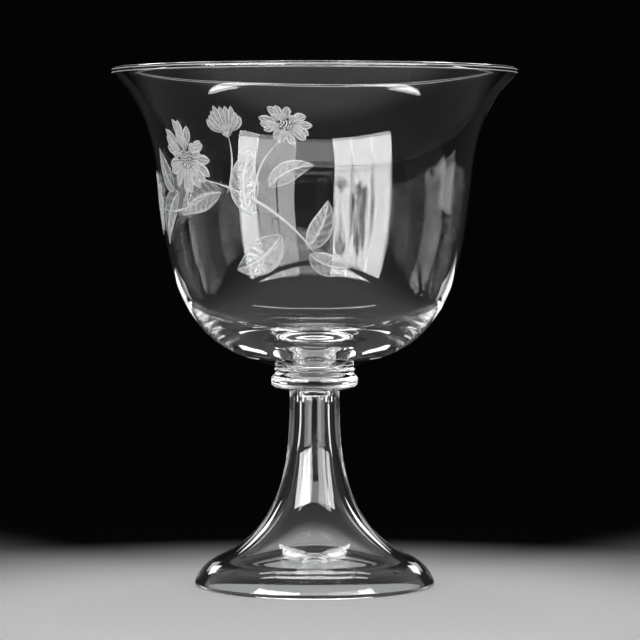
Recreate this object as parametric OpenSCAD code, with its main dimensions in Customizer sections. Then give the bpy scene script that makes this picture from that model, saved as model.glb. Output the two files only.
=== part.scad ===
// Pokal goblet of clear blown glass: a bell-shaped bowl with a flared lip, a thin disc and a thick
// rounded ring under it, and a hollow trumpet stem that opens into the foot.
// Millimetres. The foot stands on z = 0 and the axis of the goblet is the z axis.

/* [Bowl] */
// Height of the bowl, from the disc under it to the top of the lip
bowl_h = 116.2; // [106:0.1:126]
// Diameter over the lip
lip_d = 158; // [146:1:166]
// Thickness of the rounded lip
lip_t = 2.8; // [2.4:0.1:3.6]
// Rise of the lip above level where it ends
lip_angle = 42; // [34:1:54]
// Diameter at the waist, where the wall stands steepest
waist_d = 121.2; // [112:0.2:128]
// Height of the waist above the disc
waist_z = 66.2; // [59:0.2:73]
// Rise of the wall above level at the waist
waist_angle = 84.8; // [80:0.2:88]
// Diameter of the flat underside that is melted to the disc
bowl_base_d = 30; // [26:0.5:32]
// Rise of the underside above level where it leaves the disc
base_angle = 16; // [10:1:20]
// Thickness of the wall
wall_t = 2.3; // [1.8:0.1:3]
// Thickness of the floor on the axis
floor_t = 8; // [6:0.1:10]
// How far up the belly the thick floor runs out into the wall, as a share of the way to the waist
floor_reach = 0.7; // [0.55:0.01:0.85]
// How far the underside runs outward before it turns up, as a share of the way to the waist
base_spread = 0.47; // [0.4:0.01:0.55]
// How far the wall keeps its waist angle below the waist, as a share of the waist height
belly_lift = 0.845; // [0.76:0.005:0.88]
// How far the wall keeps its waist angle above the waist, as a share of the rest of the bowl
flare_start = 0.31; // [0.2:0.01:0.4]
// How far the lip keeps its own angle back into the wall, as a share of the rest of the bowl
flare_end = 0.41; // [0.3:0.01:0.5]

/* [Rings under the bowl] */
// Diameter of the thin disc
disc_d = 31.6; // [30:0.1:34]
// Thickness of the thin disc
disc_h = 2; // [1.6:0.1:3]
// Diameter of the thick ring
ring_d = 34; // [31:0.5:40]
// Thickness of the thick ring
ring_h = 6.8; // [4:0.1:8]

/* [Stem and foot] */
// Height of the stem and foot together
stem_foot_h = 77; // [70:0.1:88]
// Diameter of the stem under the ring
stem_d = 19.4; // [17:0.1:22]
// Thickness of the wall of the hollow stem
stem_wall_t = 4.5; // [3.5:0.1:6]
// Straight part of the stem under the ring
neck_h = 3.2; // [2.8:0.1:9]
// Solid glass between the hollow and the ring
roof_t = 2; // [1.4:0.1:2.6]
// Diameter of the foot
foot_d = 94; // [86:1:104]
// Thickness of the wall of the foot
foot_wall_t = 4.2; // [3:0.1:5]
// Fall of the foot below level where it begins to turn down
foot_slope = 25; // [20:1:32]
// Height at which the foot begins to turn down
shoulder_z = 11.2; // [10:0.1:12.4]
// Radius of the turned-down edge
shoulder_r = 17.5; // [15.5:0.5:20]
// Rounding of the outer corner that stands on the table
outer_roll_r = 1.4; // [0.8:0.1:1.8]
// Rounding of the inner corner that stands on the table
inner_roll_r = 0.8; // [0.4:0.1:1.2]
// How far the stem runs straight down before it spreads, as a share of the height of the trumpet
stem_reach = 0.53; // [0.4:0.01:0.6]
// How far the foot keeps its slope back toward the stem, as a share of the height of the trumpet
foot_reach = 0.4; // [0.34:0.01:0.46]

/* [Hidden] */
$fn = 96;
curve_steps = 28;
roll_steps = 10;

glass = [0.86, 0.89, 0.89, 0.45];
thick_glass = [0.80, 0.84, 0.84, 0.6];

ring_z = stem_foot_h;
disc_z = ring_z + ring_h;
bowl_z = disc_z + disc_h;

// Direction at an angle above level, and the directions square to a given one
function heading(angle) = [cos(angle), sin(angle)];
function left_of(v) = [-v[1], v[0]];
function right_of(v) = [v[1], -v[0]];

// A smooth step from 0 to 1, held at 1 beyond
function ease(t) = t >= 1 ? 1 : t * t * (3 - 2 * t);
function between(a, b, t) = a + (b - a) * t;

// Point and heading on a curve that leaves p[0] toward p[1] and reaches p[3] from p[2]
function on_curve(p, t) = pow(1 - t, 3) * p[0] + 3 * t * pow(1 - t, 2) * p[1]
    + 3 * t * t * (1 - t) * p[2] + pow(t, 3) * p[3];
function along_curve(p, t) = let (v = pow(1 - t, 2) * (p[1] - p[0]) + 2 * t * (1 - t) * (p[2] - p[1])
    + t * t * (p[3] - p[2])) v / norm(v);

// Points on an arc, with angles counted from +r toward +z, and a list without its first point
function arc(centre, r, from, to, steps) =
    [for (i = [0:steps]) centre + r * heading(between(from, to, i / steps))];
function after_first(points) = [for (i = [1:len(points) - 1]) points[i]];

share = [for (i = [0:curve_steps]) i / curve_steps];

// Bowl: outer curve in two parts, base to waist and waist to lip
base_point = [bowl_base_d / 2, 0];
waist_point = [waist_d / 2, waist_z];
lip_centre = [lip_d / 2 - lip_t / 2, bowl_h - lip_t / 2];
lip_point = lip_centre - lip_t / 2 * left_of(heading(lip_angle));
flare_h = lip_centre[1] - waist_z;
belly_curve = [
    base_point,
    base_point + base_spread * (waist_point[0] - base_point[0]) * heading(base_angle),
    waist_point - belly_lift * waist_z * heading(waist_angle),
    waist_point
];
flare_curve = [
    waist_point,
    waist_point + flare_start * flare_h * heading(waist_angle),
    lip_point - flare_end * flare_h * heading(lip_angle),
    lip_point
];

// The floor is dished over the disc, runs out into the wall along the belly, and the wall thickens into the lip
base_rise = tan(base_angle);
floor_rim_t = (floor_t + base_point[0] * base_rise / 2)
    / (cos(base_angle) + sin(base_angle) * base_rise / 2);
function belly_t(t) = between(floor_rim_t, wall_t, ease(t / floor_reach));
function flare_t(t) = between(wall_t, lip_t, ease(t));
function belly_inside(t) = on_curve(belly_curve, t) + belly_t(t) * left_of(along_curve(belly_curve, t));
function flare_inside(t) = on_curve(flare_curve, t) + flare_t(t) * left_of(along_curve(flare_curve, t));
floor_rim = belly_inside(0);
function floor_inside(t) = [floor_rim[0] * t, between(floor_t, floor_rim[1], t * t)];

bowl_outside = concat(
    [for (t = share) on_curve(belly_curve, t)],
    [for (t = share) if (t > 0 && t < 1) on_curve(flare_curve, t)]
);
bowl_lip = arc(lip_centre, lip_t / 2, lip_angle - 90, lip_angle + 90, roll_steps);
bowl_inside = concat(
    [for (t = share) if (t > 0 && t < 1) flare_inside(1 - t)],
    [for (t = share) belly_inside(1 - t)],
    [for (i = [1:roll_steps]) floor_inside(1 - i / roll_steps)]
);

// Stem and foot: a trumpet curve, then an arc that turns the edge down on to the table
shoulder_centre_z = shoulder_z - shoulder_r * cos(foot_slope);
outer_roll_reach = shoulder_r - outer_roll_r;
outer_roll_turn = acos((outer_roll_r - shoulder_centre_z) / outer_roll_reach);
outer_roll_centre = [foot_d / 2 - outer_roll_r, outer_roll_r];
shoulder_centre = [outer_roll_centre[0] - outer_roll_reach * sin(outer_roll_turn), shoulder_centre_z];
inside_r = shoulder_r - foot_wall_t;
inner_roll_reach = inside_r + inner_roll_r;
inner_roll_turn = acos((inner_roll_r - shoulder_centre_z) / inner_roll_reach);
inner_roll_centre = [shoulder_centre[0] + inner_roll_reach * sin(inner_roll_turn), inner_roll_r];

neck_point = [stem_d / 2, stem_foot_h - neck_h];
shoulder_point = shoulder_centre + shoulder_r * heading(90 - foot_slope);
trumpet_h = neck_point[1] - shoulder_z;
trumpet_curve = [
    neck_point,
    neck_point - [0, stem_reach * trumpet_h],
    shoulder_point - foot_reach * trumpet_h * heading(-foot_slope),
    shoulder_point
];
function trumpet_inside(t) = on_curve(trumpet_curve, t)
    + between(stem_wall_t, foot_wall_t, ease(t)) * right_of(along_curve(trumpet_curve, t));

bore_r = stem_d / 2 - stem_wall_t;
dome_h = neck_h - roof_t;
bore_dome = [for (i = [0:roll_steps]) let (turn = 90 * i / roll_steps)
    [bore_r * cos(turn), neck_point[1] + dome_h * sin(turn)]];

foot_outside = concat(
    [[stem_d / 2, stem_foot_h]],
    [for (t = share) on_curve(trumpet_curve, t)],
    after_first(arc(shoulder_centre, shoulder_r, 90 - foot_slope, 90 - outer_roll_turn, roll_steps)),
    after_first(arc(outer_roll_centre, outer_roll_r, 90 - outer_roll_turn, -90, roll_steps))
);
foot_inside = concat(
    arc(inner_roll_centre, inner_roll_r, -90, -90 - inner_roll_turn, roll_steps),
    after_first(arc(shoulder_centre, inside_r, 90 - inner_roll_turn, 90 - foot_slope, roll_steps)),
    [for (t = share) if (t > 0) trumpet_inside(1 - t)],
    after_first(bore_dome)
);

// A disc with a fully rounded edge
module rounded_disc(d, h) {
    rotate_extrude() {
        square([d / 2 - h / 2, h]);
        translate([d / 2 - h / 2, h / 2])
            intersection() {
                circle(d = h);
                translate([0, -h / 2])
                    square([h / 2, h]);
            }
    }
}

module bowl() {
    color(glass)
        translate([0, 0, bowl_z])
            rotate_extrude()
                polygon(concat([[0, 0]], bowl_outside, bowl_lip, bowl_inside));
}

module upper_merese() {
    color(thick_glass)
        translate([0, 0, disc_z])
            rounded_disc(disc_d, disc_h);
}

module lower_merese() {
    color(thick_glass)
        translate([0, 0, ring_z])
            rounded_disc(ring_d, ring_h);
}

module stem_foot() {
    color(glass)
        rotate_extrude()
            polygon(concat([[0, stem_foot_h]], foot_outside, foot_inside));
}

bowl();
upper_merese();
lower_merese();
stem_foot();
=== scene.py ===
"""Looks of the pokal goblet: clear blown glass with a wheel-engraved spray of daisies on the bowl."""

import bisect
import math

import bmesh
import bpy
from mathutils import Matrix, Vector


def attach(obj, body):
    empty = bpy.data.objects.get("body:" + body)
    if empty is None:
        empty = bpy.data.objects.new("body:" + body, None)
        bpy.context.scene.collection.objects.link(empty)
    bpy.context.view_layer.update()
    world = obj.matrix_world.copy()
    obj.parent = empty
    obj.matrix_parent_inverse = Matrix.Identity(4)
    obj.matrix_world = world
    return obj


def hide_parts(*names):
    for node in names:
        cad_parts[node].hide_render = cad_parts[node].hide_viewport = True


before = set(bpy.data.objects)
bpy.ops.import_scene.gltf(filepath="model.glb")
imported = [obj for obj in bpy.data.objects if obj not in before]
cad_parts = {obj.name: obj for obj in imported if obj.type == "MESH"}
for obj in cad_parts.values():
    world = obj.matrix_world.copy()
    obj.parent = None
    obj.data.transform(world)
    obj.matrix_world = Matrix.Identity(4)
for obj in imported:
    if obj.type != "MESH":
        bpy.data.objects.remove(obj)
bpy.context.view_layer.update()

# Sizes of the goblet as the solids have them, in millimetres and degrees
MM = 0.001

# Bowl, with its heights counted from the disc under it
LIP_D = 158
LIP_T = 2.8
LIP_ANGLE = 42
BOWL_H = 116.2
WAIST_D = 121.2
WAIST_Z = 66.2
WAIST_ANGLE = 84.8
BOWL_BASE_D = 30
BASE_ANGLE = 16
WALL_T = 2.3
FLOOR_T = 8
# How far up the belly the thick floor runs out into the wall, as a share of the way to the waist
FLOOR_REACH = 0.7
# How far the underside runs outward before it turns up, as a share of the way to the waist
BASE_SPREAD = 0.47
# How far the wall keeps its waist angle below the waist, as a share of the waist height
BELLY_LIFT = 0.845
# How far the wall keeps its waist angle above the waist, as a share of the rest of the bowl
FLARE_START = 0.31
# How far the lip keeps its own angle back into the wall, as a share of the rest of the bowl
FLARE_END = 0.41

# Disc and ring under the bowl
DISC_D = 31.6
DISC_H = 2
RING_D = 34
RING_H = 6.8

# Stem and foot, with heights counted from the table
STEM_FOOT_H = 77
STEM_D = 19.4
STEM_WALL_T = 4.5
NECK_H = 3.2
ROOF_T = 2
FOOT_D = 94
FOOT_WALL_T = 4.2
FOOT_SLOPE = 25
SHOULDER_Z = 11.2
SHOULDER_R = 17.5
OUTER_ROLL_R = 1.4
INNER_ROLL_R = 0.8
# How far the stem runs straight down before it spreads, as a share of the height of the trumpet
STEM_REACH = 0.53
# How far the foot keeps its slope back toward the stem, as a share of the height of the trumpet
FOOT_REACH = 0.4

# Where the ring, the disc and the bowl begin above the table, and the flat faces of the disc and the ring
RING_Z = STEM_FOOT_H
DISC_Z = RING_Z + RING_H
BOWL_Z = DISC_Z + DISC_H
DISC_FLAT_R = DISC_D / 2 - DISC_H / 2
RING_FLAT_R = RING_D / 2 - RING_H / 2

# How finely the turned pieces are drawn
TURN_STEPS = 192
CURVE_STEPS = 56
ROLL_STEPS = 14
LIP_STEPS = 36
EDGE_STEPS = 42


def heading(angle):
    """Direction in the (radius, height) plane at an angle in degrees above level."""
    turn = math.radians(angle)
    return Vector((math.cos(turn), math.sin(turn)))


def left_of(v):
    """Direction square to v, on its left."""
    return Vector((-v.y, v.x))


def between(a, b, share):
    """Value or point that lies a share of the way from a to b."""
    return a + (b - a) * share


def ease(share):
    """A smooth step from 0 to 1, held at 1 beyond."""
    share = min(share, 1.0)
    return share * share * (3 - 2 * share)


def on_curve(p, t):
    """Point on the curve that leaves p[0] toward p[1] and reaches p[3] from p[2]."""
    s = 1 - t
    return s ** 3 * p[0] + 3 * t * s * s * p[1] + 3 * t * t * s * p[2] + t ** 3 * p[3]


def along_curve(p, t):
    """Heading of that curve."""
    s = 1 - t
    return (s * s * (p[1] - p[0]) + 2 * t * s * (p[2] - p[1]) + t * t * (p[3] - p[2])).normalized()


def arc(centre, radius, start, end, steps):
    """Points on an arc, with angles in degrees counted from level outward."""
    return [centre + radius * heading(between(start, end, i / steps)) for i in range(steps + 1)]


def shares(steps):
    """Even shares from 0 to 1, both ends included."""
    return [i / steps for i in range(steps + 1)]


# Outer curves of the bowl: base to waist, and waist to lip
base_point = Vector((BOWL_BASE_D / 2, BOWL_Z))
waist_point = Vector((WAIST_D / 2, BOWL_Z + WAIST_Z))
lip_centre = Vector((LIP_D / 2 - LIP_T / 2, BOWL_Z + BOWL_H - LIP_T / 2))
lip_point = lip_centre - LIP_T / 2 * left_of(heading(LIP_ANGLE))
flare_h = lip_centre.y - waist_point.y
belly_curve = (
    base_point,
    base_point + BASE_SPREAD * (waist_point.x - base_point.x) * heading(BASE_ANGLE),
    waist_point - BELLY_LIFT * WAIST_Z * heading(WAIST_ANGLE),
    waist_point,
)
flare_curve = (
    waist_point,
    waist_point + FLARE_START * flare_h * heading(WAIST_ANGLE),
    lip_point - FLARE_END * flare_h * heading(LIP_ANGLE),
    lip_point,
)

# Thickness of the glass where the dished floor meets the belly
base_rise = math.tan(math.radians(BASE_ANGLE))
floor_rim_t = (FLOOR_T + base_point.x * base_rise / 2) / (
    heading(BASE_ANGLE).x + heading(BASE_ANGLE).y * base_rise / 2
)

# Outer curve of the stem and foot, and the arcs that turn the edge of the foot down
outer_roll_centre = Vector((FOOT_D / 2 - OUTER_ROLL_R, OUTER_ROLL_R))
shoulder_centre_z = SHOULDER_Z - SHOULDER_R * math.cos(math.radians(FOOT_SLOPE))
outer_reach = SHOULDER_R - OUTER_ROLL_R
outer_turn = math.degrees(math.acos((OUTER_ROLL_R - shoulder_centre_z) / outer_reach))
shoulder_centre_r = outer_roll_centre.x - outer_reach * math.sin(math.radians(outer_turn))
shoulder_centre = Vector((shoulder_centre_r, shoulder_centre_z))
inside_r = SHOULDER_R - FOOT_WALL_T
inner_reach = inside_r + INNER_ROLL_R
inner_turn = math.degrees(math.acos((INNER_ROLL_R - shoulder_centre_z) / inner_reach))
inner_roll_centre_r = shoulder_centre.x + inner_reach * math.sin(math.radians(inner_turn))
inner_roll_centre = Vector((inner_roll_centre_r, INNER_ROLL_R))
neck_point = Vector((STEM_D / 2, STEM_FOOT_H - NECK_H))
shoulder_point = shoulder_centre + SHOULDER_R * heading(90 - FOOT_SLOPE)
trumpet_h = neck_point.y - SHOULDER_Z
trumpet_curve = (
    neck_point,
    neck_point - Vector((0, STEM_REACH * trumpet_h)),
    shoulder_point - FOOT_REACH * trumpet_h * heading(-FOOT_SLOPE),
    shoulder_point,
)


def bowl_outline():
    """Outside, lip and inside of the bowl. Each point comes with 1 on the inner side and 0 elsewhere."""
    outside = [Vector((r, BOWL_Z)) for r in (0, DISC_FLAT_R / 2, DISC_FLAT_R)]
    outside += [on_curve(belly_curve, t) for t in shares(CURVE_STEPS)]
    outside += [on_curve(flare_curve, t) for t in shares(CURVE_STEPS)[1:-1]]
    lip = arc(lip_centre, LIP_T / 2, LIP_ANGLE - 90, LIP_ANGLE + 90, LIP_STEPS)
    inside = []
    for t in reversed(shares(CURVE_STEPS)[1:-1]):
        wall = between(WALL_T, LIP_T, ease(t))
        inside.append(on_curve(flare_curve, t) + wall * left_of(along_curve(flare_curve, t)))
    for t in reversed(shares(CURVE_STEPS)):
        wall = between(floor_rim_t, WALL_T, ease(t / FLOOR_REACH))
        inside.append(on_curve(belly_curve, t) + wall * left_of(along_curve(belly_curve, t)))
    floor_rim = inside[-1]
    floor_z = BOWL_Z + FLOOR_T
    for t in reversed(shares(ROLL_STEPS)[:-1]):
        inside.append(Vector((floor_rim.x * t, between(floor_z, floor_rim.y, t * t))))
    return [(p, 0) for p in outside + lip] + [(p, 1) for p in inside]


def rounded_disc_outline(diameter, height, bottom_z, joint_r):
    """Half section of a disc with a fully rounded edge. joint_r is where the piece below it ends."""
    flat_r = diameter / 2 - height / 2
    top_z = bottom_z + height
    bottom = [Vector((r, bottom_z)) for r in (0, joint_r / 2, joint_r, between(joint_r, flat_r, 0.5))]
    edge = arc(Vector((flat_r, bottom_z + height / 2)), height / 2, -90, 90, EDGE_STEPS)
    top = [Vector((flat_r / 2, top_z)), Vector((0, top_z))]
    return [(p, 0) for p in bottom + edge + top]


def stem_foot_outline():
    """Top joint, outside, standing ring and inside of the hollow stem and foot, as for the bowl."""
    outside = [Vector((r, STEM_FOOT_H)) for r in (0, STEM_D / 4, STEM_D / 2)]
    outside += [on_curve(trumpet_curve, t) for t in shares(CURVE_STEPS)]
    outside += arc(shoulder_centre, SHOULDER_R, 90 - FOOT_SLOPE, 90 - outer_turn, ROLL_STEPS)[1:]
    outside += arc(outer_roll_centre, OUTER_ROLL_R, 90 - outer_turn, -90, ROLL_STEPS)[1:]
    inside = arc(inner_roll_centre, INNER_ROLL_R, -90, -90 - inner_turn, ROLL_STEPS)
    inside += arc(shoulder_centre, inside_r, 90 - inner_turn, 90 - FOOT_SLOPE, ROLL_STEPS)[1:]
    for t in reversed(shares(CURVE_STEPS)[:-1]):
        wall = between(STEM_WALL_T, FOOT_WALL_T, ease(t))
        inside.append(on_curve(trumpet_curve, t) - wall * left_of(along_curve(trumpet_curve, t)))
    bore_r = STEM_D / 2 - STEM_WALL_T
    dome_h = NECK_H - ROOF_T
    for share in shares(ROLL_STEPS)[1:]:
        turn = math.radians(90 * share)
        inside.append(Vector((bore_r * math.cos(turn), neck_point.y + dome_h * math.sin(turn))))
    return [(p, 0) for p in outside] + [(p, 1) for p in inside]


def blown_wave(angle, height, swell, rounds, start, wind):
    """One wave of a hand-blown wall, in millimetres, that goes round the axis and winds with the height."""
    return swell * math.sin(rounds * angle + start + wind * height)


def blown_unevenness(angle, height):
    """Small swelling of a hand-blown inner wall, in millimetres, at an angle round the axis and a height."""
    slow = blown_wave(angle, height, swell=0.09, rounds=2, start=0.6, wind=0.031)
    middle = blown_wave(angle, height, swell=0.06, rounds=3, start=-1.1, wind=-0.083)
    quick = blown_wave(angle, height, swell=0.03, rounds=5, start=2.0, wind=0.21)
    return slow + middle + quick


# Painted highlight lines along the lip, pale colour in place of light that the wall carries out there,
# in degrees round the rounded edge
LIP_LINE_TURN = 20
LIP_LINE_GAP = 50
# How narrow those lines are, and how far off the rounded edge a point still counts as on it
LIP_LINE_NARROWNESS = 1.5
LIP_SLACK = 1.02


def painted_lip_highlight(radius, height):
    """How much painted highlight a spot of the lip gets, from 0 to 1, in place of light the wall carries
    out.
    """
    spoke = Vector((radius, height)) - lip_centre
    if spoke.length > LIP_SLACK * LIP_T / 2:
        return 0.0
    turn = math.degrees(math.atan2(spoke.y, spoke.x))
    wave = math.cos(2 * math.pi * (turn - LIP_LINE_TURN) / LIP_LINE_GAP)
    return max(0.0, wave) ** LIP_LINE_NARROWNESS


# Gaps in millimetres below which two points are one, and below which a face lies in a joint
MERGE_GAP = 0.001
JOINT_GAP = 0.01


def swell_inner_side(bm, low, high):
    """Gives the inner side between two heights the small swellings of blown glass."""
    inner_side = bm.verts.layers.float["inner_side"]
    for vert in bm.verts:
        height = vert.co.z / MM
        share = (height - low) / (high - low)
        if vert[inner_side] < 0.5 or not 0 < share < 1:
            continue
        swell = blown_unevenness(math.atan2(vert.co.y, vert.co.x), height)
        vert.co += vert.normal * (swell * math.sin(math.pi * share) * MM)


def mark_joints(bm, joints):
    """Gives the flat faces that are melted to a neighbour the second material."""
    for face in bm.faces:
        middle = face.calc_center_median()
        for joint_z, joint_r in joints:
            level = abs(middle.z - joint_z * MM) < JOINT_GAP * MM
            if level and math.hypot(middle.x, middle.y) < joint_r * MM:
                face.material_index = 1
                face.smooth = False


def add_piece(bm, name):
    """Makes a finished shape an object at the origin, with its place in its mesh."""
    mesh = bpy.data.meshes.new(name)
    bm.to_mesh(mesh)
    bm.free()
    piece = bpy.data.objects.new(name, mesh)
    bpy.context.collection.objects.link(piece)
    return piece


def turn_glass(name, outline, joints, uneven_low=None, uneven_high=None, painted_edge_highlight=None):
    """Spins a half section into a closed glass piece.

    joints are (height, radius) of the faces that are melted to a neighbour. The inner side between the
    two uneven heights gets the small swellings of blown glass. The function for the edge says, at a radius
    and height, where pale highlight lines are painted into the glass, in place of light the wall carries
    out.
    """
    bm = bmesh.new()
    inner_side = bm.verts.layers.float.new("inner_side")
    painted_highlight_share = bm.verts.layers.float.new("painted_edge_highlight")
    previous = None
    for point, side in outline:
        vert = bm.verts.new((point.x * MM, 0, point.y * MM))
        vert[inner_side] = side
        if previous is not None:
            bm.edges.new((previous, vert))
        previous = vert
    bmesh.ops.spin(
        bm,
        geom=bm.verts[:] + bm.edges[:],
        cent=(0, 0, 0),
        axis=(0, 0, 1),
        angle=2 * math.pi,
        steps=TURN_STEPS,
        use_merge=True,
    )
    bmesh.ops.remove_doubles(bm, verts=bm.verts, dist=MERGE_GAP * MM)
    bmesh.ops.recalc_face_normals(bm, faces=bm.faces)
    bm.normal_update()
    if uneven_high is not None:
        swell_inner_side(bm, uneven_low, uneven_high)
    if painted_edge_highlight is not None:
        for vert in bm.verts:
            vert[painted_highlight_share] = painted_edge_highlight(math.hypot(vert.co.x, vert.co.y) / MM, vert.co.z / MM)
    for face in bm.faces:
        face.smooth = True
    mark_joints(bm, joints)
    return add_piece(bm, name)


# Finishes. Glass refracts by GLASS_IOR, and its grey varies softly over the piece.
GLASS_IOR = 1.5
GREYER_GLASS = (0.965, 0.975, 0.972, 1)
CLEARER_GLASS = (0.992, 0.995, 0.994, 1)
TINT_SCALE = 22.0
GREYER_BELOW = 0.35
CLEARER_ABOVE = 0.65
GLASS_SHADOW = (0.9, 0.91, 0.91, 1)
# Colour of the painted highlight lines along the lip, and how much they cover the clear glass
PAINTED_LIP_HIGHLIGHT = (0.92, 0.93, 0.93, 1)
PAINTED_LIP_HIGHLIGHT_COVER = 0.6


def new_material(name):
    """An empty material with its nodes and links."""
    material = bpy.data.materials.new(name)
    material.use_nodes = True
    material.node_tree.nodes.clear()
    return material, material.node_tree.nodes, material.node_tree.links


def add_noise(nodes, links, scale, detail):
    """Soft noise that is fixed to the piece."""
    coords = nodes.new("ShaderNodeTexCoord")
    noise = nodes.new("ShaderNodeTexNoise")
    noise.inputs["Scale"].default_value = scale
    noise.inputs["Detail"].default_value = detail
    links.new(coords.outputs["Object"], noise.inputs["Vector"])
    return noise.outputs["Fac"]


def clear_glass(name, ripple_scale, ripple_height):
    """Clear, faintly grey glass with the slow ripple of a blown surface, which throws a pale shadow. Pale
    highlight lines are painted into it where the piece's mask asks for them.
    """
    material, nodes, links = new_material(name)
    body = nodes.new("ShaderNodeBsdfPrincipled")
    body.inputs["Transmission Weight"].default_value = 1.0
    body.inputs["IOR"].default_value = GLASS_IOR
    body.inputs["Roughness"].default_value = 0.0
    tint = nodes.new("ShaderNodeValToRGB")
    tint.color_ramp.elements[0].position = GREYER_BELOW
    tint.color_ramp.elements[0].color = GREYER_GLASS
    tint.color_ramp.elements[1].position = CLEARER_ABOVE
    tint.color_ramp.elements[1].color = CLEARER_GLASS
    links.new(add_noise(nodes, links, TINT_SCALE, detail=1.0), tint.inputs["Fac"])
    links.new(tint.outputs["Color"], body.inputs["Base Color"])
    ripple = nodes.new("ShaderNodeBump")
    ripple.inputs["Strength"].default_value = 1.0
    ripple.inputs["Distance"].default_value = ripple_height * MM
    links.new(add_noise(nodes, links, ripple_scale, detail=0.0), ripple.inputs["Height"])
    links.new(ripple.outputs["Normal"], body.inputs["Normal"])

    # Painted highlight: a pale matt colour mixed into the glass along the lip's lines, in place of light the
    # wall carries out.
    painted_highlight_share = nodes.new("ShaderNodeAttribute")
    painted_highlight_share.attribute_name = "painted_edge_highlight"
    cover = nodes.new("ShaderNodeMath")
    cover.operation = "MULTIPLY"
    cover.inputs[1].default_value = PAINTED_LIP_HIGHLIGHT_COVER
    links.new(painted_highlight_share.outputs["Fac"], cover.inputs[0])
    painted_lip_line = nodes.new("ShaderNodeBsdfPrincipled")
    painted_lip_line.inputs["Base Color"].default_value = PAINTED_LIP_HIGHLIGHT
    painted_lip_line.inputs["Roughness"].default_value = 0.3
    glass_with_painted_lines = nodes.new("ShaderNodeMixShader")
    links.new(cover.outputs["Value"], glass_with_painted_lines.inputs["Fac"])
    links.new(body.outputs["BSDF"], glass_with_painted_lines.inputs[1])
    links.new(painted_lip_line.outputs["BSDF"], glass_with_painted_lines.inputs[2])

    light_path = nodes.new("ShaderNodeLightPath")
    light_through = nodes.new("ShaderNodeMath")
    light_through.operation = "MAXIMUM"
    links.new(light_path.outputs["Is Shadow Ray"], light_through.inputs[0])
    links.new(light_path.outputs["Is Diffuse Ray"], light_through.inputs[1])
    pale_shadow = nodes.new("ShaderNodeBsdfTransparent")
    pale_shadow.inputs["Color"].default_value = GLASS_SHADOW
    surface = nodes.new("ShaderNodeMixShader")
    links.new(light_through.outputs["Value"], surface.inputs["Fac"])
    links.new(glass_with_painted_lines.outputs["Shader"], surface.inputs[1])
    links.new(pale_shadow.outputs["BSDF"], surface.inputs[2])
    out = nodes.new("ShaderNodeOutputMaterial")
    links.new(surface.outputs["Shader"], out.inputs["Surface"])
    return material


def melted_joint():
    """The face where two hot pieces ran together: no surface is left to see."""
    material, nodes, links = new_material("melted_joint")
    out = nodes.new("ShaderNodeOutputMaterial")
    nothing = nodes.new("ShaderNodeBsdfTransparent")
    links.new(nothing.outputs["BSDF"], out.inputs["Surface"])
    return material


bowl_glass = clear_glass("bowl_glass", ripple_scale=30.0, ripple_height=0.05)
ring_glass = clear_glass("ring_glass", ripple_scale=90.0, ripple_height=0.03)
stem_glass = clear_glass("stem_glass", ripple_scale=60.0, ripple_height=0.04)
joint_face = melted_joint()

# Heights in millimetres that stay even: over the floor of the bowl, under its lip, and at both ends of the
# stem and foot
EVEN_FLOOR_H = 4
EVEN_LIP_H = 6
EVEN_STEM_H = 4

bowl = turn_glass(
    "goblet_bowl",
    bowl_outline(),
    [(BOWL_Z, DISC_FLAT_R)],
    uneven_low=BOWL_Z + FLOOR_T + EVEN_FLOOR_H,
    uneven_high=BOWL_Z + BOWL_H - EVEN_LIP_H,
    painted_edge_highlight=painted_lip_highlight,
)
upper_merese = turn_glass(
    "goblet_upper_merese",
    rounded_disc_outline(DISC_D, DISC_H, DISC_Z, RING_FLAT_R),
    [(DISC_Z, RING_FLAT_R), (BOWL_Z, DISC_FLAT_R)],
)
lower_merese = turn_glass(
    "goblet_lower_merese",
    rounded_disc_outline(RING_D, RING_H, RING_Z, STEM_D / 2),
    [(RING_Z, STEM_D / 2), (DISC_Z, RING_FLAT_R)],
)
stem_foot = turn_glass(
    "goblet_stem_foot",
    stem_foot_outline(),
    [(STEM_FOOT_H, STEM_D / 2)],
    uneven_low=EVEN_STEM_H,
    uneven_high=STEM_FOOT_H - EVEN_STEM_H,
)

glass_pieces = (
    (bowl, "bowl", bowl_glass),
    (upper_merese, "upper_merese", ring_glass),
    (lower_merese, "lower_merese", ring_glass),
    (stem_foot, "stem_foot", stem_glass),
)
for piece, node, glass in glass_pieces:
    piece.data.materials.append(glass)
    piece.data.materials.append(joint_face)
    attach(piece, "root")
    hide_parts(node)


# Engraving: a spray of daisies cut with a wheel into the outside of the bowl. A place on the wall is given
# as millimetres to the right of the viewer's middle, counted round the waist, and millimetres above the
# disc. The cut is a thin skin that lies a hair outside the wall. Relief and lift are in millimetres too, and
# whiteness runs from 0 for nearly clear glass to 1.
CUT_PROUD = 0.06
CUT_SKIN = 0.03
CUT_MERGE_GAP = 0.0005
# How much a blade tapers toward its two ends
BLADE_TAPER = 0.85

# Outer wall of the bowl from the disc to the lip
wall_points = [on_curve(belly_curve, t) for t in shares(CURVE_STEPS)]
wall_points += [on_curve(flare_curve, t) for t in shares(CURVE_STEPS)[1:]]
wall_heights = [point.y - BOWL_Z for point in wall_points]


def on_wall(across, height, proud):
    """Point in space, in metres, that stands proud of the outer wall."""
    step = bisect.bisect_right(wall_heights, height)
    low = wall_points[step - 1]
    high = wall_points[step]
    outward = -left_of((high - low).normalized())
    share = (height - wall_heights[step - 1]) / (wall_heights[step] - wall_heights[step - 1])
    spot = between(low, high, share) + proud * outward
    turn = 2 * across / WAIST_D
    return Vector((spot.x * math.sin(turn), -spot.x * math.cos(turn), spot.y)) * MM


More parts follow.
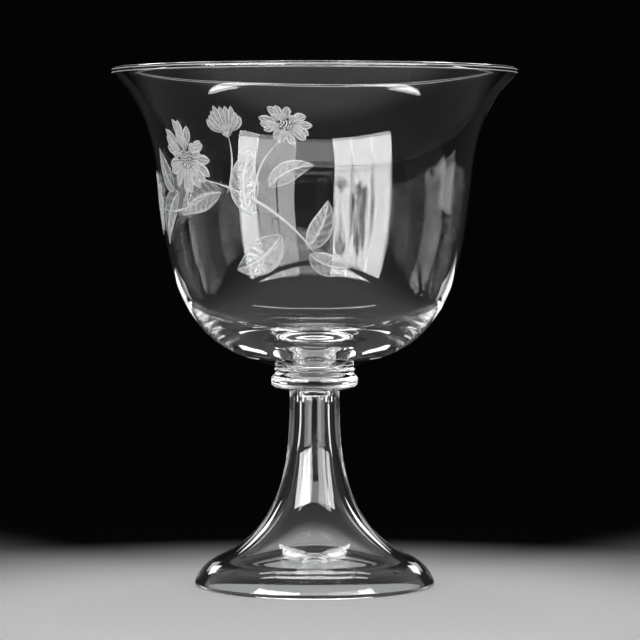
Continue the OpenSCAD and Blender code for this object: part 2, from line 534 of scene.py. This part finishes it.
def cut_blade(spray, root, tip, bow, width, peak, rows, columns, finish, lift=0.0):
    """One bowed blade of the engraving, from its root to its tip.

    It is widest where t ** peak is a half. finish(t, c) gives its relief and how white it is cut at a share
    t of its length and c of its half width. lift raises it over the blades it crosses.
    """
    side = left_of((tip - root).normalized())
    bend = between(root, tip, 0.5) + 2 * bow * side
    white = spray.verts.layers.float["cut"]
    grid = bmesh.ops.create_grid(spray, x_segments=rows, y_segments=columns, size=0.5)
    for vert in grid["verts"]:
        t = vert.co.x + 0.5
        c = 2 * vert.co.y
        along = ((1 - t) * (bend - root) + t * (tip - bend)).normalized()
        spine = (1 - t) ** 2 * root + 2 * t * (1 - t) * bend + t * t * tip
        half = width / 2 * max(0.0, math.sin(math.pi * t ** peak)) ** BLADE_TAPER
        spot = spine + c * half * left_of(along)
        relief, vert[white] = finish(t, c)
        vert.co = on_wall(spot.x, spot.y, CUT_PROUD + lift + relief)
    bmesh.ops.remove_doubles(spray, verts=grid["verts"], dist=CUT_MERGE_GAP * MM)


# Leaf: how it is drawn, the width of its rib and edge as shares of its half width, and its veins
LEAF_PEAK = 0.8
LEAF_ROWS_PER_VEIN = 7
LEAF_COLUMNS = 16
LEAF_RIB_W = 0.09
LEAF_EDGE_W = 0.2
LEAF_LINE_WHITE = 0.6
VEIN_SLANT = 0.2
VEIN_THINNESS = 5
VEIN_DEPTH = 0.04
LEAF_BULGE = 0.07
# Whiteness of its pale and dark halves at the root, what they gain toward the tip, and what a vein changes
PALE_HALF = 0.36
PALE_HALF_GAIN = 0.16
PALE_HALF_VEIN = -0.26
DARK_HALF = 0.1
DARK_HALF_GAIN = 0.08
DARK_HALF_VEIN = 0.42


def cut_leaf(spray, root, tip, bow, width, pairs, lift=0.0):
    """A pointed leaf: midrib, pairs of veins, a pale and a dark half and a bright edge."""

    def finish(t, c):
        rib = math.exp(-((c / LEAF_RIB_W) ** 2))
        vein = max(0.0, math.cos(2 * math.pi * pairs * (t - VEIN_SLANT * abs(c)))) ** VEIN_THINNESS
        edge = ease(max(0.0, (abs(c) - (1 - LEAF_EDGE_W)) / LEAF_EDGE_W))
        if c > 0:
            ground = PALE_HALF + PALE_HALF_GAIN * t + PALE_HALF_VEIN * vein
        else:
            ground = DARK_HALF + DARK_HALF_GAIN * t + DARK_HALF_VEIN * vein
        relief = LEAF_BULGE * (1 - c * c) - VEIN_DEPTH * vein * (1 - rib)
        return relief, min(1.0, ground + LEAF_LINE_WHITE * rib + LEAF_LINE_WHITE * edge)

    rows = LEAF_ROWS_PER_VEIN * pairs
    cut_blade(spray, Vector(root), Vector(tip), bow, width, LEAF_PEAK, rows, LEAF_COLUMNS, finish, lift)


# Petal: how it is drawn, its grooves, and how white its parts are cut
PETAL_PEAK = 1.6
PETAL_ROWS = 10
PETAL_COLUMNS = 8
PETAL_BULGE = 0.05
PETAL_GROOVES = 3
GROOVE_DEPTH = 0.02
GROOVE_WHITE = 0.4
PETAL_EDGE_W = 0.4
PETAL_EDGE_WHITE = 0.5
PETAL_ROOT_WHITE = 0.12
PETAL_TIP_GAIN = 0.24


def cut_petal(spray, root, tip, bow, width, lift):
    """A strap-like petal with three fine grooves and a bright edge, whiter toward its tip."""

    def finish(t, c):
        groove = 0.5 + 0.5 * math.cos(PETAL_GROOVES * math.pi * c)
        edge = ease(max(0.0, (abs(c) - (1 - PETAL_EDGE_W)) / PETAL_EDGE_W))
        relief = PETAL_BULGE * (1 - c * c) - GROOVE_DEPTH * groove
        ground = PETAL_ROOT_WHITE + PETAL_TIP_GAIN * t
        return relief, min(1.0, ground + GROOVE_WHITE * groove + PETAL_EDGE_WHITE * edge)

    cut_blade(spray, root, tip, bow, width, PETAL_PEAK, PETAL_ROWS, PETAL_COLUMNS, finish, lift)


# Stalk: how it is drawn, and how white its middle and its edges are cut
STALK_PEAK = 1.0
STALK_ROWS = 36
STALK_COLUMNS = 4
STALK_BULGE = 0.04
STALK_WHITE = 0.85
STALK_EDGE_LOSS = 0.3


def cut_stalk(spray, root, tip, bow, width):
    """A thin stalk that ends in points."""

    def finish(t, c):
        return STALK_BULGE * (1 - c * c), STALK_WHITE - STALK_EDGE_LOSS * c * c

    cut_blade(spray, Vector(root), Vector(tip), bow, width, STALK_PEAK, STALK_ROWS, STALK_COLUMNS, finish)


def leaned(way, lean, squash):
    """A direction in a bloom that leans away: shorter along the lean."""
    slope = heading(lean)
    return way - (1 - squash) * way.dot(slope) * slope


def waver(step, pace, start=0):
    """Unevenness of hand work, from -1 to 1: it changes from step to step and is the same on every run."""
    return math.sin(pace * step + start)


# Seeds: how close they lie, the turn from one to the next in degrees, and their size in millimetres
SEEDS_PER_SQUARE = 3.4
SEED_TURN = 137.5
SEED_R = 0.36
SEED_CORNERS = 7
SEED_WHITE = 0.95


def cut_seeds(spray, centre, reach, lean, squash, lift):
    """The heart of a daisy: fine dots in a spiral."""
    white = spray.verts.layers.float["cut"]
    count = round(SEEDS_PER_SQUARE * reach * reach)
    for k in range(count):
        way = reach * math.sqrt((k + 0.5) / count) * heading(SEED_TURN * k)
        spot = centre + leaned(way, lean, squash)
        dot = bmesh.ops.create_circle(spray, cap_ends=True, segments=SEED_CORNERS, radius=SEED_R)
        for vert in dot["verts"]:
            vert[white] = SEED_WHITE
            vert.co = on_wall(spot.x + vert.co.x, spot.y + vert.co.y, CUT_PROUD + lift)


# Daisy, in shares of its radius: where the petals of a round touch, the reach of the long and the short
# round, the roots of the petals and the heart
PETALS_TOUCH = 0.74
LONG_REACH = 1.0
SHORT_REACH = 0.66
PETAL_ROOT = 0.2
HEART_REACH = 0.25
# The short round is narrower by a share and lies over the long one, and the heart lies over both
SHORT_NARROWER = 0.25
SHORT_LIFT = 0.03
HEART_LIFT = 0.1
# Unevenness of the petals: their turn in degrees, and their length and bow in shares of their length
PETAL_TURN_WAVER = 7
PETAL_LENGTH_WAVER = 0.08
PETAL_BOW_WAVER = 0.05


def cut_daisy(spray, centre, radius, petals, lean, squash):
    """An open daisy: a round of long petals, a round of short ones over it, and the seeds."""
    middle = Vector(centre)
    width = 2 * math.pi * PETALS_TOUCH * radius / petals
    for layer, reach in ((0, LONG_REACH), (1, SHORT_REACH)):
        for k in range(petals):
            way = heading(360 * (k + layer / 2) / petals + PETAL_TURN_WAVER * waver(k, pace=2.3))
            length = reach * radius * (1 + PETAL_LENGTH_WAVER * waver(k, pace=5.3, start=layer))
            root = middle + leaned(PETAL_ROOT * radius * way, lean, squash)
            tip = middle + leaned(length * way, lean, squash)
            bow = PETAL_BOW_WAVER * length * waver(k, pace=2.1, start=layer)
            cut_petal(spray, root, tip, bow, width * (1 - SHORT_NARROWER * layer), SHORT_LIFT * layer)
    cut_seeds(spray, middle, HEART_REACH * radius, lean, squash, HEART_LIFT)


# Half-open bloom: where its petals begin, as a share of its radius, and how full the fan of them is
FAN_ROOT = 0.16
FAN_FULLNESS = 2.6
# How much shorter the outer petals are, how uneven all are, how bowed the outer ones are, and the lift of
# every other one
FAN_OUTER_LOSS = 0.18
FAN_LENGTH_WAVER = 0.05
FAN_BOW = 0.12
FAN_LIFT = 0.02
# Its sepals: their spread as a share of the petals', and their sizes as shares of the radius
SEPAL_SPREAD = 0.8
SEPAL_ROOT = 0.06
SEPAL_REACH = 0.46
SEPAL_BOW = 0.05
SEPAL_W = 0.24
SEPAL_VEIN_PAIRS = 3
SEPAL_LIFT = 0.05


def cut_half_open(spray, foot, radius, aim, spread, petals):
    """A half-open bloom from the side: a fan of petals over a cup of small sepals."""
    base = Vector(foot)
    petal_width = FAN_FULLNESS * radius * math.radians(spread) / petals
    for k in range(petals):
        share = 2 * k / (petals - 1) - 1
        way = heading(aim + spread * share)
        length = radius * (1 - FAN_OUTER_LOSS * share * share + FAN_LENGTH_WAVER * waver(k, pace=4.1))
        root = base + FAN_ROOT * radius * way
        tip = base + length * way
        cut_petal(spray, root, tip, FAN_BOW * length * share, petal_width, FAN_LIFT * (k % 2))
    sepal_root = base - SEPAL_ROOT * radius * heading(aim)
    for share in (-1, 0, 1):
        sepal_tip = base + SEPAL_REACH * radius * heading(aim + SEPAL_SPREAD * spread * share)
        sepal_bow = -SEPAL_BOW * radius * share
        cut_leaf(spray, sepal_root, sepal_tip, sepal_bow, SEPAL_W * radius, SEPAL_VEIN_PAIRS, SEPAL_LIFT)


# Frost: its tone where the wheel only brushed the glass and where it cut deep, how much it covers the glass
# there, and a fine grain that thins or thickens that cover
FROST_SHALLOW = (0.55, 0.56, 0.56, 1)
FROST_DEEP = (0.86, 0.87, 0.87, 1)
SHALLOW_COVER = 0.03
DEEP_COVER = 0.72
GRAIN_SCALE = 1400.0
GRAIN_THIN = 0.75
GRAIN_THICK = 1.15


def frost():
    """Ground glass: matt, milky and half clear, whiter where the wheel cut deeper, with a fine grain."""
    material, nodes, links = new_material("wheel_cut_frost")
    body = nodes.new("ShaderNodeBsdfPrincipled")
    body.inputs["Roughness"].default_value = 0.6
    body.inputs["IOR"].default_value = GLASS_IOR
    white = nodes.new("ShaderNodeAttribute")
    white.attribute_name = "cut"
    tone = nodes.new("ShaderNodeValToRGB")
    tone.color_ramp.elements[0].color = FROST_SHALLOW
    tone.color_ramp.elements[1].color = FROST_DEEP
    links.new(white.outputs["Fac"], tone.inputs["Fac"])
    links.new(tone.outputs["Color"], body.inputs["Base Color"])
    grain = nodes.new("ShaderNodeMapRange")
    grain.inputs["From Min"].default_value = 0.3
    grain.inputs["From Max"].default_value = 0.7
    grain.inputs["To Min"].default_value = GRAIN_THIN
    grain.inputs["To Max"].default_value = GRAIN_THICK
    links.new(add_noise(nodes, links, GRAIN_SCALE, detail=2.0), grain.inputs["Value"])
    depth = nodes.new("ShaderNodeMapRange")
    depth.inputs["To Min"].default_value = SHALLOW_COVER
    depth.inputs["To Max"].default_value = DEEP_COVER
    links.new(white.outputs["Fac"], depth.inputs["Value"])
    cover = nodes.new("ShaderNodeMath")
    cover.operation = "MULTIPLY"
    links.new(depth.outputs["Result"], cover.inputs[0])
    links.new(grain.outputs["Result"], cover.inputs[1])
    links.new(cover.outputs["Value"], body.inputs["Alpha"])
    out = nodes.new("ShaderNodeOutputMaterial")
    links.new(body.outputs["BSDF"], out.inputs["Surface"])
    return material


def engrave_spray():
    """Lays out the spray: a bent main stalk with branches, three daisies, a half-open bloom and leaves."""
    spray = bmesh.new()
    spray.verts.layers.float.new("cut")
    cut_stalk(spray, root=(2, 43), tip=(-47, 73), bow=-6, width=1.1)
    cut_stalk(spray, root=(-22, 58), tip=(-11, 88), bow=5, width=0.9)
    cut_stalk(spray, root=(-35, 66), tip=(-32, 90), bow=-2, width=0.8)
    cut_stalk(spray, root=(-40, 69), tip=(-79, 62), bow=4, width=0.9)
    cut_daisy(spray, centre=(-54, 81), radius=14.5, petals=17, lean=35, squash=0.82)
    cut_daisy(spray, centre=(-87, 64), radius=12, petals=15, lean=160, squash=0.8)
    cut_daisy(spray, centre=(-10, 93), radius=9.5, petals=14, lean=80, squash=0.72)
    cut_half_open(spray, foot=(-32, 89), radius=11.5, aim=96, spread=44, petals=9)
    cut_leaf(spray, root=(-13, 52), tip=(-33, 39), bow=2.5, width=13, pairs=7)
    cut_leaf(spray, root=(-25, 60), tip=(-23, 84), bow=3, width=12, pairs=7)
    cut_leaf(spray, root=(-37, 68), tip=(-60, 59), bow=-2.5, width=12, pairs=7)
    cut_leaf(spray, root=(-17, 70), tip=(0, 78), bow=2, width=8, pairs=6)
    cut_leaf(spray, root=(-61, 68), tip=(-77, 48), bow=-3, width=10.5, pairs=6)
    cut_leaf(spray, root=(-64, 69), tip=(-74, 85), bow=2.5, width=9, pairs=6)
    cut_leaf(spray, root=(-3, 47), tip=(5, 65), bow=-2, width=9, pairs=6)
    cut_leaf(spray, root=(-2, 45), tip=(15, 40), bow=-2, width=8.5, pairs=6)
    spray.normal_update()
    bmesh.ops.solidify(spray, geom=spray.faces[:], thickness=CUT_SKIN * MM)
    bmesh.ops.recalc_face_normals(spray, faces=spray.faces)
    for face in spray.faces:
        face.smooth = True
    piece = add_piece(spray, "engraved_spray")
    piece.data.materials.append(frost())
    return piece


engraved_spray = engrave_spray()
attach(engraved_spray, "root")


# Stage: a plain floor, a dim room and soft boxes, in metres. The floor lies a hair under the foot. It is
# pale in a pool that reaches a little toward the viewer, and fades outside it: a painted pool of light with
# painted falloff around it, graded like background paper.
FLOOR_R = 0.7
FLOOR_CORNERS = 160
FLOOR_DROP = 0.2 * MM
FLOOR_PALE = (0.5, 0.5, 0.496, 1)
POOL_NEARER = 0.08
FLOOR_PALE_R = 0.1
FLOOR_DARK_R = 0.26
# Outside the pool it is grey, and nearly black behind the goblet: painted falloff of light into shade. A
# turn is the cosine of the angle from straight behind.
FLOOR_PAINTED_FALLOFF_GREY = (0.11, 0.112, 0.111, 1)
FLOOR_PAINTED_SHADE_BLACK = (0.002, 0.002, 0.002, 1)
FLOOR_GREY_TURN = 0.55
FLOOR_BLACK_TURN = 0.85


def floor_paint_with_painted_falloff():
    """Matt paint that is pale round the goblet, grey further off and dark behind it: painted falloff of
    light into shade.
    """
    material, nodes, links = new_material("floor_painted_falloff")
    paint = nodes.new("ShaderNodeBsdfPrincipled")
    paint.inputs["Roughness"].default_value = 0.9
    paint.inputs["Specular IOR Level"].default_value = 0.0
    coords = nodes.new("ShaderNodeTexCoord")
    from_pool = nodes.new("ShaderNodeVectorMath")
    from_pool.operation = "ADD"
    from_pool.inputs[1].default_value = (0, POOL_NEARER, 0)
    links.new(coords.outputs["Object"], from_pool.inputs[0])
    away = nodes.new("ShaderNodeVectorMath")
    away.operation = "LENGTH"
    links.new(from_pool.outputs["Vector"], away.inputs[0])
    # Painted falloff: the paint darkens away from the pool in place of light that falls off.
    painted_falloff = nodes.new("ShaderNodeMapRange")
    painted_falloff.interpolation_type = "SMOOTHSTEP"
    painted_falloff.inputs["From Min"].default_value = FLOOR_PALE_R
    painted_falloff.inputs["From Max"].default_value = FLOOR_DARK_R
    links.new(away.outputs["Value"], painted_falloff.inputs["Value"])
    straight = nodes.new("ShaderNodeVectorMath")
    straight.operation = "NORMALIZE"
    links.new(coords.outputs["Object"], straight.inputs[0])
    split = nodes.new("ShaderNodeSeparateXYZ")
    links.new(straight.outputs["Vector"], split.inputs["Vector"])
    painted_far_shade = nodes.new("ShaderNodeValToRGB")
    painted_far_shade.color_ramp.interpolation = "EASE"
    painted_far_shade.color_ramp.elements[0].position = FLOOR_GREY_TURN
    painted_far_shade.color_ramp.elements[0].color = FLOOR_PAINTED_FALLOFF_GREY
    painted_far_shade.color_ramp.elements[1].position = FLOOR_BLACK_TURN
    painted_far_shade.color_ramp.elements[1].color = FLOOR_PAINTED_SHADE_BLACK
    links.new(split.outputs["Y"], painted_far_shade.inputs["Fac"])
    tone = nodes.new("ShaderNodeMix")
    tone.data_type = "RGBA"
    tone.inputs["A"].default_value = FLOOR_PALE
    links.new(painted_falloff.outputs["Result"], tone.inputs["Factor"])
    links.new(painted_far_shade.outputs["Color"], tone.inputs["B"])
    links.new(tone.outputs["Result"], paint.inputs["Base Color"])
    out = nodes.new("ShaderNodeOutputMaterial")
    links.new(paint.outputs["BSDF"], out.inputs["Surface"])
    return material


def pale_floor():
    """A pale matt table top whose painted falloff sinks into the grey of the room, and behind the goblet
    into its dark.
    """
    bm = bmesh.new()
    bmesh.ops.create_circle(bm, cap_ends=True, segments=FLOOR_CORNERS, radius=FLOOR_R)
    bmesh.ops.translate(bm, verts=bm.verts, vec=(0, 0, -FLOOR_DROP))
    floor = add_piece(bm, "pale_floor")
    floor.data.materials.append(floor_paint_with_painted_falloff())


# Room: where each tone lies, as a share of the way from the viewer's side to straight behind the goblet, and
# how bright it is
BY_THE_VIEWER = (0.2, 0.09)
AT_THE_SIDES = (0.5, 0.03)
TOWARD_THE_BACK = (0.965, 0.014)
STRAIGHT_BEHIND = (0.9925, 0.0012)
ROOM_TONES = (BY_THE_VIEWER, AT_THE_SIDES, TOWARD_THE_BACK, STRAIGHT_BEHIND)
ROOM_GREEN = 1.03
ROOM_BLUE = 1.02


def dim_room():
    """A room that is dim grey on the viewer's side and dark behind the goblet."""
    world = bpy.data.worlds.new("dim_room")
    world.use_nodes = True
    nodes = world.node_tree.nodes
    links = world.node_tree.links
    coords = nodes.new("ShaderNodeTexCoord")
    split = nodes.new("ShaderNodeSeparateXYZ")
    links.new(coords.outputs["Generated"], split.inputs["Vector"])
    way_back = nodes.new("ShaderNodeMapRange")
    way_back.inputs["From Min"].default_value = -1.0
    links.new(split.outputs["Y"], way_back.inputs["Value"])
    tone = nodes.new("ShaderNodeValToRGB")
    tones = tone.color_ramp.elements
    while len(tones) < len(ROOM_TONES):
        tones.new(0.5)
    for stop, (share, grey) in zip(tones, ROOM_TONES):
        stop.position = share
        stop.color = (grey, ROOM_GREEN * grey, ROOM_BLUE * grey, 1)
    links.new(way_back.outputs["Result"], tone.inputs["Fac"])
    links.new(tone.outputs["Color"], nodes["Background"].inputs["Color"])
    bpy.context.scene.world = world


# Soft boxes: the height that they face, how far off they stand, and how far a box's fill lamp hangs in front
AIM_HEIGHT = 0.11
BOX_AWAY = 1.2
CEILING_AWAY = 1.4
RIM_LAMP_AWAY = 0.226
FILL_NEARER = 0.02
# The tall panes on both sides: their middle in degrees above level, their height and their fill
PANE_RISE = 21
PANE_H = 0.7
PANE_FILL = 8.0


def softbox(name, azimuth, elevation, width, height, shine=0.0, fill=0.0, away=BOX_AWAY, shape="RECTANGLE"):
    """A soft light box that faces the goblet. Azimuth is counted from the viewer toward the right.

    shine is how bright its image in the glass is, and fill how bright it is for matt surfaces. Each is a
    lamp of its own.
    """
    turn = math.radians(azimuth)
    rise = math.radians(elevation)
    aim = Vector((0, 0, AIM_HEIGHT))
    outward = Vector((math.sin(turn) * math.cos(rise), -math.cos(turn) * math.cos(rise), math.sin(rise)))
    corner_loss = math.pi / 4 if shape == "ELLIPSE" else 1
    for use, brightness, nearer in (("shine", shine, 0), ("fill", fill, FILL_NEARER)):
        if brightness == 0:
            continue
        data = bpy.data.lights.new(name + "_" + use, "AREA")
        data.shape = shape
        data.size = width
        data.size_y = height
        data.energy = brightness * math.pi * width * height * corner_loss
        lamp = bpy.data.objects.new(name + "_" + use, data)
        lamp.location = aim + outward * (away - nearer)
        lamp.rotation_euler = outward.to_track_quat("Z", "Y").to_euler()
        lamp.visible_camera = False
        lamp.visible_diffuse = use == "fill"
        lamp.visible_glossy = use == "shine"
        lamp.visible_transmission = use == "shine"
        bpy.context.collection.objects.link(lamp)


def pane(name, azimuth, width, shine, fill=0.0):
    """A tall soft box, one of three side by side."""
    softbox(name, azimuth, PANE_RISE, width, PANE_H, shine, fill)


def side_boxes(hand, side, outer_shine, inner_shine):
    """The boxes of one side: three tall panes over a dim sill, and others for the edges of the glass."""
    pane(hand + "_outer_pane", azimuth=side * 56, width=0.32, shine=outer_shine, fill=PANE_FILL)
    pane(hand + "_middle_pane", azimuth=side * 39, width=0.33, shine=inner_shine, fill=PANE_FILL)
    pane(hand + "_inner_pane", azimuth=side * 23, width=0.28, shine=inner_shine)
    softbox(hand + "_sill", azimuth=side * 31, elevation=-1, width=0.62, height=0.2, shine=4.0)
    softbox(hand + "_side_wall", azimuth=side * 98, elevation=8, width=0.85, height=0.6, shine=0.1)
    softbox(hand + "_side_panel", azimuth=side * 112, elevation=-3, width=0.34, height=0.1, shine=0.9)
    softbox(
        hand + "_rim_lamp",
        azimuth=side * 148,
        elevation=-8,
        width=0.05,
        height=0.036,
        shine=1.6,
        away=RIM_LAMP_AWAY,
    )


def upper_boxes():
    """A window over the viewer, a broad ceiling for matt surfaces and a bright strip in it for the glass."""
    softbox("middle_window", azimuth=0, elevation=29, width=0.62, height=0.34, shine=2.2)
    softbox(
        "ceiling",
        azimuth=180,
        elevation=79,
        width=2.4,
        height=0.7,
        fill=2.0,
        away=CEILING_AWAY,
        shape="ELLIPSE",
    )
    softbox(
        "ceiling_strip",
        azimuth=180,
        elevation=72,
        width=1.5,
        height=0.2,
        shine=9.0,
        away=CEILING_AWAY,
        shape="ELLIPSE",
    )


# Camera: where the photograph was taken from, found from the ovals of the lip, the rings and the foot
CAMERA_AWAY = 1.290
CAMERA_HEIGHT = 0.1565
CAMERA_RIGHT = 0.0021
HORIZON_ROW = 185
FOCAL_PIXELS = 3309
IMAGE_PIXELS = 640
SENSOR_MM = 36


def photo_camera():
    """The camera, turned down until the horizon lies in its row."""
    data = bpy.data.cameras.new("photo_camera")
    data.sensor_width = SENSOR_MM
    data.lens = SENSOR_MM * FOCAL_PIXELS / IMAGE_PIXELS
    data.clip_start = 0.05
    data.clip_end = 20
    camera = bpy.data.objects.new("photo_camera", data)
    pitch = math.atan((IMAGE_PIXELS / 2 - HORIZON_ROW) / FOCAL_PIXELS)
    camera.location = (CAMERA_RIGHT, -CAMERA_AWAY, CAMERA_HEIGHT)
    camera.rotation_euler = (math.pi / 2 - pitch, 0, 0)
    bpy.context.collection.objects.link(camera)
    bpy.context.scene.camera = camera


# How many surfaces light may pass: it runs a long way inside the thick floor of the bowl
GLASS_BOUNCES = 24

pale_floor()
dim_room()
side_boxes("left", -1, outer_shine=16.0, inner_shine=16.0)
side_boxes("right", 1, outer_shine=14.0, inner_shine=5.0)
upper_boxes()
photo_camera()
bpy.context.scene.cycles.max_bounces = GLASS_BOUNCES
bpy.context.scene.cycles.transmission_bounces = GLASS_BOUNCES
bpy.context.scene.cycles.glossy_bounces = GLASS_BOUNCES
bpy.context.scene.view_settings.view_transform = "Standard"
